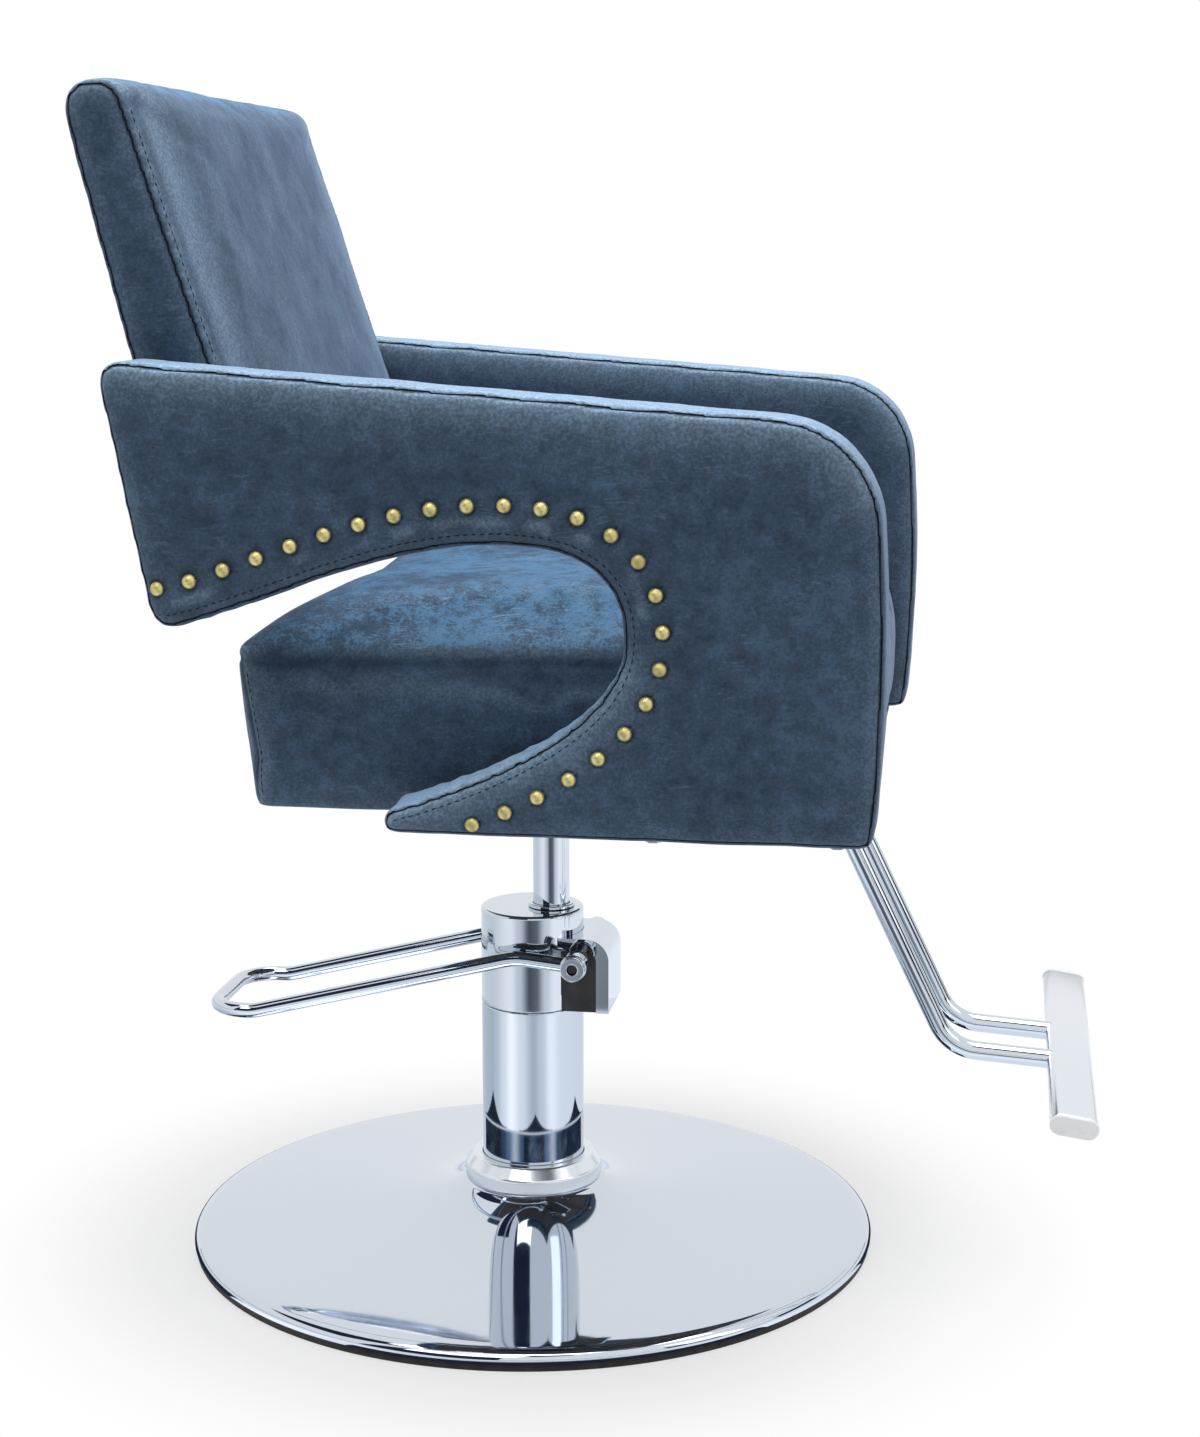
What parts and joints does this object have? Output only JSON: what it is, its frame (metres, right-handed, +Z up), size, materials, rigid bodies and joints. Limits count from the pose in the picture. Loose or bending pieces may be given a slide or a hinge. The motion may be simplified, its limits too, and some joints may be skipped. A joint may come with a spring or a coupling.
{
  "type": "barber chair",
  "caption": "Upholstered salon chair with C-shaped arm panels on a hydraulic pump column, with foot pedal, T-shaped footrest and a round dish base.",
  "frame": {"origin": "middle of the base's underside, on the floor under the pump column", "axes": "+Z up, +X the way the sitter faces, +Y to the sitter's left"},
  "size_m": [0.8012, 0.67, 1.0001],
  "materials": {
    "upholstery": "matte",
    "chrome": "polished",
    "bare_steel": "satin",
    "black_paint": "satin",
    "black_rubber": "matte",
    "bearing_brass": "satin",
    "plywood": "matte",
    "pale_plastic": "satin"
  },
  "bodies": {
    "base": {"base_collar": "chrome", "base_dish": "chrome", "base_plate": "bare_steel", "bracket_screw": "bare_steel", "column_sleeve": "chrome", "floor_ring": "black_rubber", "lever_bracket": "black_paint", "lever_guard": "chrome", "plunger_barrel": "bare_steel", "pump_block": "black_paint", "pump_bolt_1": "bare_steel", "pump_bolt_2": "bare_steel", "pump_bolt_3": "bare_steel", "pump_head": "chrome", "ram_cylinder": "bare_steel", "ram_gland": "bearing_brass", "rod_bush": "bare_steel", "rod_wiper": "black_rubber", "shaft_bush_left": "bearing_brass", "shaft_bush_right": "bearing_brass"},
    "pedal": {"pedal_bar": "chrome", "pivot_shaft": "bare_steel", "rocker_fork": "bare_steel", "pivot_bolt_right": "chrome", "pivot_bolt_left": "chrome"},
    "plunger": {"pump_plunger": "bare_steel", "plunger_spring": "bare_steel"},
    "lift": {"piston_head": "bare_steel", "piston_seal": "black_rubber", "thrust_washer": "bearing_brass"},
    "seat": {"arm_bolt_front_left": "bare_steel", "arm_bolt_front_right": "bare_steel", "arm_bolt_rear_left": "bare_steel", "arm_bolt_rear_right": "bare_steel", "arm_panel_left": "upholstery", "arm_panel_right": "upholstery", "back_cushion": "upholstery", "back_stud_left_high": "bare_steel", "back_stud_left_low": "bare_steel", "back_stud_right_high": "bare_steel", "back_stud_right_low": "bare_steel", "cross_bar_front": "black_paint", "cross_bar_rear": "black_paint", "footrest_bar": "chrome", "footrest_bolt_left": "bare_steel", "footrest_bolt_right": "bare_steel", "footrest_bracket": "black_paint", "footrest_cap_left": "pale_plastic", "footrest_cap_right": "pale_plastic", "footrest_tube_left": "chrome", "footrest_tube_right": "chrome", "plate_bolt_1": "bare_steel", "plate_bolt_2": "bare_steel", "plate_bolt_3": "bare_steel", "plate_bolt_4": "bare_steel", "ram_rod": "chrome", "seat_board": "plywood", "seat_cushion": "upholstery", "seat_plate": "black_paint"}
  },
  "joints": [
    {"name": "pedal_press", "type": "hinge", "parent": "base", "child": "pedal", "pos_m": [0.047, 0, 0.262], "axis": [0, -1, 0], "range_deg": [0, 20], "stiffness_Nm_per_rad": 10, "springref_deg": -20.05},
    {"name": "pump_stroke", "type": "slide", "parent": "base", "child": "plunger", "axis": [0, 0, -1], "range_m": [0, 0.0256], "deforming": ["plunger_spring"]},
    {"name": "seat_lift", "type": "slide", "parent": "base", "child": "lift", "axis": [0, 0, 1], "range_m": [-0.06, 0.08]},
    {"name": "seat_swivel", "type": "hinge", "parent": "lift", "child": "seat", "pos_m": [0.017, 0, 0.3], "axis": [0, 0, 1], "continuous": true}
  ],
  "couplings": [
    {"joint": "pump_stroke", "follows": "pedal_press", "m_per_rad": 0.072}
  ]
}
